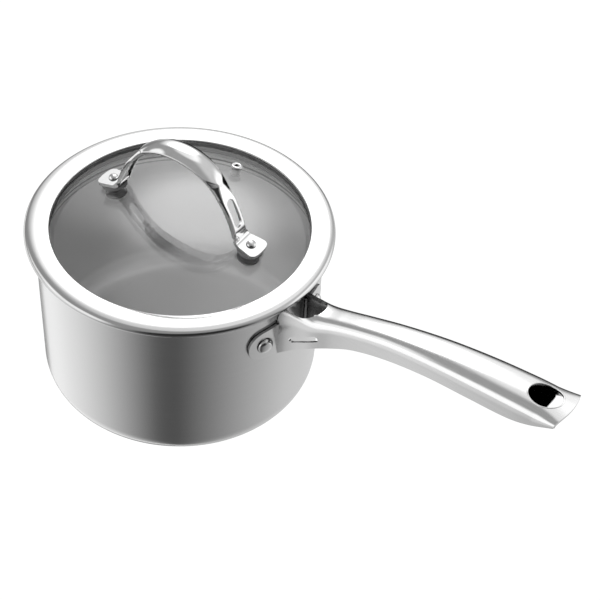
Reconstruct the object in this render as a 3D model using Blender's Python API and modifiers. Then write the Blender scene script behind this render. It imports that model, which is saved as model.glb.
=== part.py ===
"""Saucepan with a domed glass lid, built as its separate pieces.

Units are metres, +Z is up. The origin is the centre of the flat base, and the
long handle runs out along +X. Run with: blender --background --python part.py
"""
import math

import bmesh
import bpy
from mathutils import Matrix, Vector

# --- driving dimensions -----------------------------------------------------
SEGMENTS = 48                 # facets round every large turned piece
SMALL_SEGMENTS = 20           # facets round rivets, washers and the vent
GAP = 0.0003                  # clearance between pieces that touch

# Pan: three bonded layers, measured at the straight wall
PAN_RADIUS = 0.0800
PAN_CORNER_RADIUS = 0.0153
PAN_WALL_TOP = 0.0996
CORE_TOP = 0.0970
OUTER_LAYER = 0.0008
CORE_LAYER = 0.0012
INNER_LAYER = 0.0007
LIP_FLARE = 0.0062            # radius of the curve that turns the lip outwards
LIP_TOP = 0.1024
LIP_LEVEL = 0.0006            # flat end of the lip
CORNER_STEPS = 5              # points on each rounded corner of the pan's section

# Lid
RIM_RADIUS = 0.0855
RIM_INNER_RADIUS = 0.0720
RIM_TOP = 0.1070
RIM_SHEET = 0.0008
RIM_FLOOR = 0.1028            # underside of the rim, where it rests above the pan's lip
SKIRT_RADIUS = 0.0762
SKIRT_SHOULDER = 0.1014       # where the skirt leaves the rim's underside
SKIRT_BOTTOM = 0.0942
# (radius, height) over the rim from its inner edge to its outer edge, and back below
RIM_OVER = ((RIM_INNER_RADIUS, 0.1062), (0.0758, 0.1069), (0.0800, RIM_TOP), (0.0827, 0.1068),
            (0.0845, 0.1062), (RIM_RADIUS, 0.1049), (RIM_RADIUS, 0.1038), (0.0846, RIM_FLOOR))
RIM_UNDER = ((0.0840, RIM_FLOOR + RIM_SHEET), (0.0846, 0.1048), (0.0829, 0.1059),
             (0.0800, 0.1062), (RIM_INNER_RADIUS, 0.1055))
# the shelf folded inwards from the skirt, under the glass: inner radius, heights
SHELF = (0.0727, 0.0976, 0.0984)
# section of the silicone bead, clockwise from its upper inner corner
SEAL_PROFILE = ((0.0717, 0.1052), (0.0750, 0.1052), (0.0750, 0.0988), (0.0728, 0.0988),
                (0.0728, 0.0994), (0.0743, 0.0994), (0.0743, 0.1047), (0.0717, 0.1047))
GLASS_RADIUS = 0.0740
GLASS_THICKNESS = 0.0040
GLASS_TOP = 0.1141            # top of the dome
GLASS_EDGE_TOP = 0.1040       # top of the glass at its edge

# Lid handle, in the plane that holds the lid's axis
LID_HANDLE_ANGLE = math.radians(5.25)
LID_RIVET_DISTANCE = 0.0456
LID_SHANK = 0.0016            # radius of the rivet's shank
LID_RIVET_HEAD = (0.0027, 0.0017)            # radius and height of the dome
LID_RIVET_TAIL = (0.0038, 0.0012)            # radius and height of the inner head
PAD_RADIUS = 0.0072
PAD_SHEET = 0.0022
GASKET = (0.0062, 0.0012)                    # radius and thickness, under the glass
WASHER = (0.0056, 0.0008)
STRAP_SHEET = 0.0014
LINER_SHEET = 0.0010
FOOT_SHEET = 0.0020
FOOT_LEVEL = PAD_SHEET + 2 * GAP             # underside of the foot above the glass
GRIP_TOP = 0.1588
LEG_SLOT = (0.0352, 0.1312, 26.0)            # distance, height and lean of a leg's slot
LEG_SLOT_SIZE = (0.0086, 0.0029)             # half length, half width
# right half of the strap's outer face, from the crown down to the foot: distance from
# the lid's axis, height, half width, crown of the section, depth of its turned edges
STRAP_STATIONS = (
    (0.0000, GRIP_TOP - 0.0024, 0.0074, 0.0024, 0.0012),
    (0.0075, 0.1557, 0.0073, 0.0024, 0.0012),
    (0.0140, 0.1536, 0.0070, 0.0022, 0.0013),
    (0.0195, 0.1507, 0.0065, 0.0017, 0.0015),
    (0.0245, 0.1469, 0.0059, 0.0011, 0.0020),
    (0.0287, 0.1416, 0.0055, 0.0008, 0.0022),
    (0.0329, 0.1355, 0.0053, 0.0007, 0.0024),
    (0.0360, 0.1296, 0.0052, 0.0006, 0.0024),
    (0.0385, 0.1236, 0.0052, 0.0005, 0.0024),
    (0.0396, 0.1196, 0.0055, 0.0003, 0.0020),
)
LINER_STATIONS = 6            # how many of those stations the inner strip follows
# the foot, a tab with rounded corners: distance out from the rivet, lift, half width
FOOT_SPOTS = (
    (-0.0063, 0.0012, 0.0058), (-0.0050, 0.0001, 0.0061), (-0.0020, 0.0, 0.0067),
    (0.0035, 0.0, 0.0074), (0.0050, 0.0, 0.0071), (0.0060, 0.0, 0.0063),
    (0.0066, 0.0, 0.0053), (0.0071, 0.0, 0.0030), (0.0072, 0.0, 0.0008),
)
LID_SPOTS = {"front": LID_HANDLE_ANGLE, "back": LID_HANDLE_ANGLE + math.pi}

# Steam vent, an eyelet through the glass beside the lid handle
VENT_DISTANCE = 0.0556
VENT_ANGLE = LID_HANDLE_ANGLE + math.radians(91.2)
VENT_BORE = 0.0013
VENT_BARREL = 0.0022
VENT_CROWN = ((VENT_BORE, 0.0008), (0.0026, 0.0012), (0.0035, 0.0006), (0.0035, GAP))
VENT_FLANGE = (0.0032, 0.0007)               # radius and height under the glass

# Long handle
HANDLE_END = 0.2434
HANDLE_SHEET = 0.0014
HANDLE_SHANK = 0.0026         # radius of the rivet's shank
HANDLE_RIVET_HEAD = (0.0047, 0.0027)         # radius and height of the dome
HANDLE_RIVET_TAIL = (0.0042, 0.0014)         # radius and height of the inner head
ROUNDNESS = 2.6               # exponent of the rounded top: 2 is an ellipse
WING_ANGLE = math.radians(15.6)
RIVET_HEIGHT = 0.0800
WING_SHEET = 0.0015
WING_RADIUS = 0.0099
WING_HEIGHTS = (0.066, 0.094)
NECK_REACH = 0.0106           # from the rivet towards the handle
NOTCH_START = 0.0700
NOTCH_CENTRE = 0.0905
NOTCH_RADIUS = 0.0092
LIP_CLEARANCE = (0.0838, 0.0998, 0.1012)     # radius, and the heights where it opens out
SIDE_SLOT = (0.0955, 0.0875, -34.0)          # centre X and Z, slope in degrees
SIDE_SLOT_SIZE = (0.0105, 0.0018)            # half length, half width
LOWER_SHELL_START = 0.1040
LOWER_SHELL_END = 0.2300
HANGING_HOLE = (0.2290, 0.0092, 0.0074)      # centre X, half length, half width
BOW_START = 0.2150            # from here the end of the handle bows out in plan
BOW_DEPTH = 0.0025
BOW_HALF_WIDTH = 0.0132
# cutting planes along the handle: (start, step, count) at the root, then even steps
ROOT_STOPS = (0.0775, 0.0035, 5)
GRIP_STOPS = (0.0964, 16)
# stations along the handle: X, half width, crown height, lower edge height, and the
# height of the rounded top as a share of the half width
HANDLE_STATIONS = (
    (0.0775, 0.0145, 0.1036, 0.0665, 1.60),
    (0.0810, 0.0132, 0.1035, 0.0687, 1.60),
    (0.0845, 0.0122, 0.1033, 0.0714, 1.45),
    (0.0900, 0.0115, 0.1030, 0.0760, 1.15),
    (0.1000, 0.0112, 0.1034, 0.0836, 0.88),
    (0.1120, 0.0098, 0.1075, 0.0910, 0.75),
    (0.1250, 0.0095, 0.1123, 0.0985, 0.70),
    (0.1450, 0.0100, 0.1190, 0.1062, 0.70),
    (0.1700, 0.0114, 0.1253, 0.1130, 0.70),
    (0.1950, 0.0126, 0.1297, 0.1168, 0.70),
    (0.2180, 0.0132, 0.1326, 0.1198, 0.70),
    (0.2300, 0.0132, 0.1336, 0.1232, 0.70),
    (0.2434, 0.0130, 0.1340, 0.1296, 0.70),
)

PARTS = "saucepan_with_glass_lid"
CUTTERS = "cutters"

# name: (colour, roughness, metallic)
MATERIALS = {
    "polished_steel": ((0.78, 0.78, 0.77), 0.12, 1.0),
    "satin_steel": ((0.62, 0.62, 0.61), 0.28, 1.0),
    "aluminium": ((0.70, 0.70, 0.72), 0.45, 1.0),
    "glass": ((0.92, 0.94, 0.94), 0.02, 0.0),
    "silicone": ((0.10, 0.10, 0.10), 0.60, 0.0),
}


# --- helpers ----------------------------------------------------------------
def clear_scene():
    for old in list(bpy.data.objects):
        bpy.data.objects.remove(old, do_unlink=True)
    for name in (PARTS, CUTTERS):
        collection = bpy.data.collections.new(name)
        bpy.context.scene.collection.children.link(collection)


def make_material(piece):
    colour, roughness, metallic = MATERIALS[piece["finish"]]
    material = bpy.data.materials.new(piece.name)
    material.use_nodes = True
    shader = material.node_tree.nodes["Principled BSDF"]
    shader.inputs["Base Color"].default_value = (*colour, 1.0)
    shader.inputs["Roughness"].default_value = roughness
    shader.inputs["Metallic"].default_value = metallic
    piece.data.materials.append(material)


def add_part(name, mesh, finish):
    """One named piece of the object, with its own material."""
    part = bpy.data.objects.new(name, mesh)
    bpy.data.collections[PARTS].objects.link(part)
    part["finish"] = finish
    make_material(part)
    return part


def add_cutter(name, mesh):
    cutter = bpy.data.objects.new(name, mesh)
    bpy.data.collections[CUTTERS].objects.link(cutter)
    cutter.hide_render = True
    cutter.display_type = "WIRE"
    return cutter


def mesh_from(name, points, faces):
    mesh = bpy.data.meshes.new(name)
    mesh.from_pydata([tuple(p) for p in points], [], faces)
    mesh.update()
    return mesh


def smooth(part, degrees=35):
    part.data.shade_smooth()
    part.data.set_sharp_from_angle(angle=math.radians(degrees))


def cut(part, cutter, operation="DIFFERENCE"):
    boolean = part.modifiers.new(operation.lower(), "BOOLEAN")
    boolean.operation = operation
    boolean.object = cutter


def turned(name, profile, finish, closed=False, steps=SEGMENTS):
    """A profile of (radius, height) pairs turned about Z; it runs down its outer side."""
    edges = [(i, i + 1) for i in range(len(profile) - 1)]
    if closed:
        edges.append((len(profile) - 1, 0))
    mesh = bpy.data.meshes.new(name)
    mesh.from_pydata([(r, 0.0, z) for r, z in profile], edges, [])
    part = add_part(name, mesh, finish) if finish else add_cutter(name, mesh)
    screw = part.modifiers.new("turn", "SCREW")
    screw.steps = screw.render_steps = steps
    screw.use_merge_vertices = True
    screw.merge_threshold = 0.00001
    screw.use_smooth_shade = finish is not None
    return part


def arc(centre, radius, start, end, count):
    """Points (radius, height) on an arc, with angles in degrees from the radial direction."""
    angles = [math.radians(start + (end - start) * i / (count - 1)) for i in range(count)]
    return [(centre[0] + radius * math.cos(a), centre[1] + radius * math.sin(a)) for a in angles]


def cylinder(name, radius, depth, matrix, segments=24):
    """A cutter: a cylinder centred on matrix, its axis along the matrix's Z."""
    bm = bmesh.new()
    bmesh.ops.create_cone(bm, cap_ends=True, segments=segments, radius1=radius,
                          radius2=radius, depth=depth, matrix=matrix)
    mesh = bpy.data.meshes.new(name)
    bm.to_mesh(mesh)
    bm.free()
    return add_cutter(name, mesh)


def prism(name, outline, depth, matrix):
    """A cutter: an (x, y) outline extruded by depth, centred, along the matrix's Z."""
    n = len(outline)
    low = [matrix @ Vector((x, y, -depth / 2)) for x, y in outline]
    high = [matrix @ Vector((x, y, depth / 2)) for x, y in outline]
    faces = [tuple(reversed(range(n))), tuple(range(n, 2 * n))]
    faces += [(i, (i + 1) % n, n + (i + 1) % n, n + i) for i in range(n)]
    return add_cutter(name, mesh_from(name, low + high, faces))


def slot_outline(half_length, half_width, steps=6):
    """A slot with round ends along x, running anticlockwise."""
    right = arc((half_length - half_width, 0.0), half_width, -90, 90, steps)
    left = arc((half_width - half_length, 0.0), half_width, 90, 270, steps)
    return right + left


def ellipse_outline(half_length, half_width, steps=24):
    turns = [2 * math.pi * i / steps for i in range(steps)]
    return [(half_length * math.cos(t), half_width * math.sin(t)) for t in turns]


def stations_at(x, stations):
    """Smooth values between neighbouring stations (Catmull-Rom through the named rows)."""
    last = len(stations) - 1
    i = max(k for k in range(last) if stations[k][0] <= x or k == 0)
    a, b = stations[i], stations[i + 1]
    before, after = stations[max(i - 1, 0)], stations[min(i + 2, last)]
    t = (x - a[0]) / (b[0] - a[0])
    values = []
    for k in range(1, len(a)):
        slope_a = (b[k] - before[k]) / (b[0] - before[0])
        slope_b = (after[k] - a[k]) / (after[0] - a[0])
        run = b[0] - a[0]
        values.append((2 * t**3 - 3 * t**2 + 1) * a[k] + (t**3 - 2 * t**2 + t) * run * slope_a
                      + (3 * t**2 - 2 * t**3) * b[k] + (t**3 - t**2) * run * slope_b)
    return values


def loft(rings):
    """Faces between equal closed rings, with both ends capped."""
    n = len(rings[0])
    points = [p for ring in rings for p in ring]
    faces = []
    for r in range(len(rings) - 1):
        for i in range(n):
            j = (i + 1) % n
            faces.append((r * n + i, r * n + j, (r + 1) * n + j, (r + 1) * n + i))
    return points, faces


def capped_shell_loft(name, rings):
    """A loft of thin open sections: each ring runs along its outside and back inside."""
    points, faces = loft(rings)
    n = len(rings[0])
    half = n // 2
    last = (len(rings) - 1) * n
    for i in range(half - 1):
        faces.append((i + 1, i, n - 1 - i, n - 2 - i))
        faces.append((last + i, last + i + 1, last + n - 2 - i, last + n - 1 - i))
    mesh = mesh_from(name, points, faces)
    bm = bmesh.new()
    bm.from_mesh(mesh)
    bmesh.ops.recalc_face_normals(bm, faces=bm.faces)
    bm.to_mesh(mesh)
    bm.free()
    return mesh


# --- pan --------------------------------------------------------------------
def pan_layer(inset, thickness, top, name, finish):
    """An open cup: inset is how far its outer face lies inside the pan's outer face."""
    outer = PAN_RADIUS - inset
    corner = PAN_CORNER_RADIUS - inset
    centre = (outer - corner, PAN_CORNER_RADIUS)
    inside = [(0.0, inset + thickness)]
    inside += arc(centre, corner - thickness, 270, 360, CORNER_STEPS)
    inside += [(outer - thickness, top)]
    outside = [(outer, top)] + arc(centre, corner, 360, 270, CORNER_STEPS) + [(0.0, inset)]
    return turned(name, inside + outside, finish)


def pan_inner_shell():
    inset = OUTER_LAYER + CORE_LAYER + 2 * GAP
    outer = PAN_RADIUS - inset
    corner = PAN_CORNER_RADIUS - inset
    centre = (outer - corner, PAN_CORNER_RADIUS)
    flare = (outer - INNER_LAYER + LIP_FLARE, LIP_TOP - LIP_FLARE)
    inside = [(0.0, inset + INNER_LAYER)]
    inside += arc(centre, corner - INNER_LAYER, 270, 360, CORNER_STEPS)
    inside += arc(flare, LIP_FLARE, 180, 90, CORNER_STEPS)
    inside += [(flare[0] + LIP_LEVEL, LIP_TOP)]
    outside = [(flare[0] + LIP_LEVEL, LIP_TOP - INNER_LAYER)]
    outside += arc(flare, LIP_FLARE - INNER_LAYER, 90, 180, CORNER_STEPS)
    outside += arc(centre, corner, 360, 270, CORNER_STEPS) + [(0.0, inset)]
    return turned("pan_inner_shell", inside + outside, "satin_steel")


def radial_frame(angle, radius, height):
    """A frame at the wall: Z points outwards, Y points up, X along the wall."""
    outwards = Vector((math.cos(angle), math.sin(angle), 0.0))
    up = Vector((0.0, 0.0, 1.0))
    along = up.cross(outwards)
    frame = Matrix((along, up, outwards)).transposed().to_4x4()
    frame.translation = outwards * radius + up * height
    return frame


def pan():
    shells = [pan_layer(0.0, OUTER_LAYER, PAN_WALL_TOP, "pan_outer_shell", "polished_steel"),
              pan_layer(OUTER_LAYER + GAP, CORE_LAYER, CORE_TOP, "pan_core", "aluminium"),
              pan_inner_shell()]
    for side in (-1, 1):
        frame = radial_frame(side * WING_ANGLE, PAN_RADIUS, RIVET_HEIGHT)
        hole = cylinder(f"wall_hole_{side}", HANDLE_SHANK + GAP, 0.02, frame)
        for shell in shells:
            cut(shell, hole)


# --- long handle ------------------------------------------------------------
def handle_half_section(half_width, crown, edge, share, inset, steps=7):
    """Right half of the arched section, from its lower edge up to the crown."""
    width = half_width - inset
    top = crown - inset
    rise = min(share * half_width, (crown - edge) * 0.92) - inset * 0.5
    points = [(width, edge), (width, 0.5 * (edge + top - rise))]
    for i in range(steps):
        t = 0.5 * math.pi * i / (steps - 1)
        y = width * math.cos(t) ** (2 / ROUNDNESS)
        z = top - rise + rise * math.sin(t) ** (2 / ROUNDNESS)
        points.append((y, z))
    return points


def end_bow(y, x):
    """The free end bows out a little in plan, fading over the last stretch."""
    reach = max(0.0, (x - BOW_START) / (HANDLE_END - BOW_START))
    return x - BOW_DEPTH * reach * (y / BOW_HALF_WIDTH) ** 2


def handle_stops(start, end):
    """Shared cutting planes along the handle, so that both shells keep their gap."""
    first, step, count = ROOT_STOPS
    stops = [first + step * i for i in range(count)]
    first, count = GRIP_STOPS
    stops += [first + (HANDLE_END - first) * i / (count - 1) for i in range(count)]
    stops += [LOWER_SHELL_START, LOWER_SHELL_END]
    return [x for x in sorted(stops) if start <= x <= end + 0.00001]


def handle_ring(x):
    half_width, crown, edge, share = stations_at(x, HANDLE_STATIONS)
    outer = handle_half_section(half_width, crown, edge, share, 0.0)
    inner = handle_half_section(half_width, crown, edge, share, HANDLE_SHEET)
    outside = outer[:-1] + [(-y, z) for y, z in reversed(outer)]
    inside = inner[:-1] + [(-y, z) for y, z in reversed(inner)]
    ring = outside + list(reversed(inside))
    return [(end_bow(y, x), y, z) for y, z in ring]


def wing(side):
    """The pad that lies on the wall, unioned with the side of the channel."""
    inner = PAN_RADIUS - 0.001
    outer = PAN_RADIUS + GAP + WING_SHEET
    low, high = WING_HEIGHTS
    profile = [(inner, high), (outer, high), (outer, low), (inner, low)]
    pad = turned(f"wing_{side}", profile, None, closed=True)
    frame = radial_frame(side * WING_ANGLE, PAN_RADIUS, RIVET_HEIGHT)
    toe = arc((0.0, 0.0), WING_RADIUS, 90, 270, 9)
    neck = [(NECK_REACH, -WING_RADIUS - 0.0016), (NECK_REACH, WING_RADIUS + 0.0010)]
    outline = toe + neck
    if side > 0:
        outline = [(-x, y) for x, y in reversed(outline)]
    cut(pad, prism(f"wing_outline_{side}", outline, 0.012, frame), "INTERSECT")
    return pad


def upright_frame(x, z):
    return Matrix.Translation((x, 0.0, z))


def handle_upper_shell():
    rings = [handle_ring(x) for x in handle_stops(0.0, HANDLE_END)]
    part = add_part("handle_upper_shell", capped_shell_loft("handle_upper_shell", rings),
                    "polished_steel")
    smooth(part)
    for side in (-1, 1):
        cut(part, wing(side), "UNION")
    notch = [(NOTCH_CENTRE, NOTCH_RADIUS), (NOTCH_START, NOTCH_RADIUS),
             (NOTCH_START, -NOTCH_RADIUS)]
    notch += arc((NOTCH_CENTRE, 0.0), NOTCH_RADIUS, -90, 80, 9)
    cut(part, prism("notch", notch, 0.10, upright_frame(0.0, 0.10)))
    radius, low, high = LIP_CLEARANCE
    wall = turned("wall_clearance", [(0.0, 0.13), (radius, 0.13), (radius, high),
                                     (PAN_RADIUS + GAP, low), (PAN_RADIUS + GAP, 0.03),
                                     (0.0, 0.03)], None)
    cut(part, wall)
    for side in (-1, 1):
        frame = radial_frame(side * WING_ANGLE, PAN_RADIUS, RIVET_HEIGHT)
        cut(part, cylinder(f"wing_hole_{side}", HANDLE_SHANK + GAP, 0.02, frame))
    cut(part, side_slots())
    x, half_length, half_width = HANGING_HOLE
    hole = ellipse_outline(half_length, half_width)
    cut(part, prism("hanging_hole", hole, 0.05, upright_frame(x, 0.13)))
    return part


def side_slots():
    """One long cutter across both side walls, in line with the channel's rise."""
    x, z, slope = SIDE_SLOT
    frame = upright_frame(x, z) @ Matrix.Rotation(math.radians(slope), 4, "Y")
    frame = frame @ Matrix.Rotation(math.radians(90), 4, "X")
    return prism("side_slots", slot_outline(*SIDE_SLOT_SIZE), 0.05, frame)


def handle_lower_shell():
    """A shallow tray between the side walls; it closes the channel from below."""
    rings = []
    for x in handle_stops(LOWER_SHELL_START, LOWER_SHELL_END):
        half_width, _, edge, _ = stations_at(x, HANDLE_STATIONS)
        width = half_width - HANDLE_SHEET - GAP
        rings.append([(x, y, z) for y, z in tray_section(width, edge)])
    part = add_part("handle_lower_shell", capped_shell_loft("handle_lower_shell", rings),
                    "polished_steel")
    smooth(part)
    return part


def tray_section(width, edge, sheet=0.0012, wall=0.0024, sag=0.0010, corner=0.0022):
    """Outside from the right wall, down round the corner and across, then back inside."""
    outer = [(width, edge + wall)]
    outer += arc((width - corner, edge - sag + corner), corner, 0, -90, 4)
    inner = [(width - sheet, edge + wall)]
    inner += arc((width - corner, edge - sag + corner), corner - sheet, 0, -90, 4)
    outside = outer + [(-y, z) for y, z in reversed(outer)]
    inside = inner + [(-y, z) for y, z in reversed(inner)]
    return outside + list(reversed(inside))


def domed_rivet(name, frame, shank, head, tail, top, bottom):
    """Domed head above 'top' along the frame's Z, shank down to 'bottom', then a flat head."""
    radius, height = head
    dome = [(radius * math.cos(a), top + height * math.sin(a))
            for a in (math.pi / 2, math.pi / 3, math.pi / 6, 0.0)]
    profile = [(0.0, dome[0][1])] + dome[1:]
    profile += [(shank, top), (shank, bottom), (tail[0], bottom),
                (tail[0], bottom - tail[1]), (0.0, bottom - tail[1])]
    rivet = turned(name, profile, "polished_steel", steps=SMALL_SEGMENTS)
    rivet.matrix_world = frame


def handle_rivets():
    wall = OUTER_LAYER + CORE_LAYER + INNER_LAYER + 2 * GAP
    top = WING_SHEET + 2 * GAP
    for side, label in ((1, "left"), (-1, "right")):
        frame = radial_frame(side * WING_ANGLE, PAN_RADIUS, RIVET_HEIGHT)
        domed_rivet(f"handle_rivet_{label}", frame, HANDLE_SHANK, HANDLE_RIVET_HEAD,
                    HANDLE_RIVET_TAIL, top, -wall - 2 * GAP)


# --- lid --------------------------------------------------------------------
def dome_radius():
    rise = GLASS_TOP - GLASS_EDGE_TOP
    return (GLASS_RADIUS**2 + rise**2) / (2 * rise)


def dome_height(radius):
    """Height of the glass's top face at a distance from the axis."""
    sphere = dome_radius()
    return GLASS_TOP - sphere + math.sqrt(sphere**2 - radius**2)


def dome_frame(distance, angle):
    """A frame on the glass's top face: Z along the glass's normal, X outwards and down."""
    tilt = math.asin(distance / dome_radius())
    spot = Matrix.Rotation(angle, 4, "Z")
    spot = spot @ Matrix.Translation((distance, 0.0, dome_height(distance)))
    return spot @ Matrix.Rotation(tilt, 4, "Y")


def lid_glass():
    radii = [GLASS_RADIUS * i / 5 for i in range(6)]
    top = [(r, dome_height(r)) for r in radii]
    bottom = [(r, dome_height(r) - GLASS_THICKNESS) for r in reversed(radii)]
    glass = turned("lid_glass", top + bottom, "glass")
    for label, angle in LID_SPOTS.items():
        frame = dome_frame(LID_RIVET_DISTANCE, angle)
        cut(glass, cylinder(f"glass_hole_{label}", LID_SHANK + 2 * GAP, 0.02, frame, 16))
    vent = dome_frame(VENT_DISTANCE, VENT_ANGLE)
    cut(glass, cylinder("glass_hole_vent", VENT_BARREL + GAP, 0.02, vent, 16))


def lid_rim():
    """A rolled rim whose skirt hangs inside the pan; a shelf in the skirt holds the glass."""
    skirt_in = SKIRT_RADIUS - RIM_SHEET
    shelf_in, shelf_low, shelf_high = SHELF
    profile = list(RIM_OVER)
    profile += [(SKIRT_RADIUS + 0.0014, RIM_FLOOR), (SKIRT_RADIUS, SKIRT_SHOULDER),
                (SKIRT_RADIUS, SKIRT_BOTTOM), (skirt_in, SKIRT_BOTTOM), (skirt_in, shelf_low),
                (shelf_in, shelf_low), (shelf_in, shelf_high), (skirt_in, shelf_high),
                (skirt_in, SKIRT_SHOULDER + 0.0004),
                (skirt_in + 0.0019, RIM_FLOOR + RIM_SHEET)]
    profile += RIM_UNDER
    turned("lid_rim", profile, "polished_steel", closed=True)


def lid_seal():
    """A U-shaped silicone bead over the glass edge, inside the folded band."""
    turned("lid_seal", SEAL_PROFILE, "silicone", closed=True)


def lid_vent():
    """An eyelet pressed through the glass: round flange above, rolled flange below."""
    under = -GLASS_THICKNESS - GAP
    radius, height = VENT_FLANGE
    profile = list(VENT_CROWN)
    profile += [(VENT_BARREL, GAP), (VENT_BARREL, under), (radius, under),
                (radius, under - height), (VENT_BORE, under - height)]
    vent = turned("lid_vent", profile, "polished_steel", closed=True, steps=SMALL_SEGMENTS)
    vent.matrix_world = dome_frame(VENT_DISTANCE, VENT_ANGLE)


def lid_fastenings():
    """Pad, rivet, silicone washer and steel washer at each foot."""
    top = FOOT_LEVEL + FOOT_SHEET + GAP
    gasket = -GLASS_THICKNESS - GAP - GASKET[1]
    washer = gasket - GAP - WASHER[1]
    for label, angle in LID_SPOTS.items():
        frame = dome_frame(LID_RIVET_DISTANCE, angle)
        ring(f"lid_foot_pad_{label}", "silicone", PAD_RADIUS, GAP, PAD_SHEET, frame)
        ring(f"lid_gasket_{label}", "silicone", GASKET[0], gasket, GASKET[1], frame)
        ring(f"lid_washer_{label}", "satin_steel", WASHER[0], washer, WASHER[1], frame)
        domed_rivet(f"lid_rivet_{label}", frame, LID_SHANK, LID_RIVET_HEAD, LID_RIVET_TAIL,
                    top, washer - GAP)


def ring(name, finish, radius, low, thickness, frame):
    """A flat washer whose hole clears the rivet's shank."""
    bore = LID_SHANK + GAP
    profile = [(bore, low + thickness), (radius, low + thickness), (radius, low), (bore, low)]
    washer = turned(name, profile, finish, closed=True, steps=SMALL_SEGMENTS)
    washer.matrix_world = frame


# --- lid handle -------------------------------------------------------------
def foot_stations():
    """The strap's last stations: it bends outwards and lies flat above the pad."""
    level = FOOT_LEVEL + FOOT_SHEET
    frame = dome_frame(LID_RIVET_DISTANCE, 0.0)
    rows = []
    for x, lift, width in FOOT_SPOTS:
        spot = frame @ Vector((x, 0.0, level + lift))
        rows.append((spot.x, spot.z, width, 0.0, 0.0))
    return rows


def strap_ring(row, tangent, sheet):
    """Section across the strap: outside from edge to edge, then back along the inside."""
    u, z, width, crown, depth = row
    normal = Vector((-tangent[1], tangent[0])).normalized()
    across = [(-1.0, -depth), (-1.0, -0.35 * depth), (-0.86, 0.0), (-0.45, 0.75 * crown),
              (0.0, crown)]
    across += [(-v, n) for v, n in reversed(across[:-1])]
    outside = [(v * width, n) for v, n in across]
    inside = []
    for v, n in outside:
        edge = abs(v) > 0.9 * width and depth > 0.0
        inset = math.copysign(sheet, v) if edge else 0.0
        inside.append((v - inset, n if edge and n < -0.5 * depth else n - sheet))
    ring_points = outside + list(reversed(inside))
    return [Vector((u + normal.x * n, v, z + normal.y * n)) for v, n in ring_points]


def lid_handle_outer():
    half = list(STRAP_STATIONS) + foot_stations()
    rows = [(-u, z, w, c, d) for u, z, w, c, d in reversed(half[1:])] + half
    rings = []
    for i, row in enumerate(rows):
        before, after = rows[max(i - 1, 0)], rows[min(i + 1, len(rows) - 1)]
        tangent = Vector((after[0] - before[0], after[1] - before[1]))
        rings.append(strap_ring(row, tangent, STRAP_SHEET if row[4] > 0 else FOOT_SHEET))
    strap = add_part("lid_handle_outer", capped_shell_loft("lid_handle_outer", rings),
                     "polished_steel")
    smooth(strap)
    strap.matrix_world = Matrix.Rotation(LID_HANDLE_ANGLE, 4, "Z")
    for side in (-1, 1):
        cut(strap, leg_slot(side))
    for label, angle in LID_SPOTS.items():
        frame = dome_frame(LID_RIVET_DISTANCE, angle)
        cut(strap, cylinder(f"foot_hole_{label}", LID_SHANK + GAP, 0.008,
                            frame @ Matrix.Translation((0.0, 0.0, 0.003)), 16))


def leg_slot(side):
    u, z, lean = LEG_SLOT
    frame = Matrix.Rotation(LID_HANDLE_ANGLE + (0.0 if side > 0 else math.pi), 4, "Z")
    frame = frame @ Matrix.Translation((u, 0.0, z))
    frame = frame @ Matrix.Rotation(math.radians(90.0 - lean), 4, "Y")
    return prism(f"leg_slot_{side}", slot_outline(*LEG_SLOT_SIZE), 0.012, frame)


def lid_handle_inner():
    """A strip that closes the arch from below, between the turned edges of the legs."""
    half = STRAP_STATIONS[:LINER_STATIONS]
    drop = STRAP_SHEET + GAP
    rows = []
    for i, row in enumerate(half):
        before = half[max(i - 1, 0)]
        after = half[min(i + 1, len(half) - 1)]
        tangent = Vector((after[0] - before[0], after[1] - before[1])).normalized()
        normal = Vector((-tangent.y, tangent.x))
        width = row[2] - STRAP_SHEET - GAP
        rows.append((row[0] - normal.x * drop, row[1] - normal.y * drop, width, normal))
    rows[0] = (0.0, half[0][1] - drop, rows[0][2], Vector((0.0, 1.0)))
    mirrored = [(-u, z, w, Vector((-n.x, n.y))) for u, z, w, n in reversed(rows[1:])]
    rings = []
    for u, z, width, normal in mirrored + rows:
        corners = [(-width, 0.0), (width, 0.0), (width, -LINER_SHEET),
                   (-width, -LINER_SHEET)]
        rings.append([Vector((u + normal.x * n, v, z + normal.y * n)) for v, n in corners])
    liner = add_part("lid_handle_inner", capped_shell_loft("lid_handle_inner", rings),
                     "polished_steel")
    smooth(liner)
    liner.matrix_world = Matrix.Rotation(LID_HANDLE_ANGLE, 4, "Z")


def main():
    clear_scene()
    pan()
    handle_upper_shell()
    handle_lower_shell()
    handle_rivets()
    lid_glass()
    lid_rim()
    lid_seal()
    lid_vent()
    lid_fastenings()
    lid_handle_outer()
    lid_handle_inner()


main()
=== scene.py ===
"""Looks of the saucepan with a domed glass lid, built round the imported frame.

Metres, +Z up. The pan stands on z = 0 at the origin and its handle runs out along +X.
"""
import math

import bmesh
import bpy
from mathutils import Matrix, Vector

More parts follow.
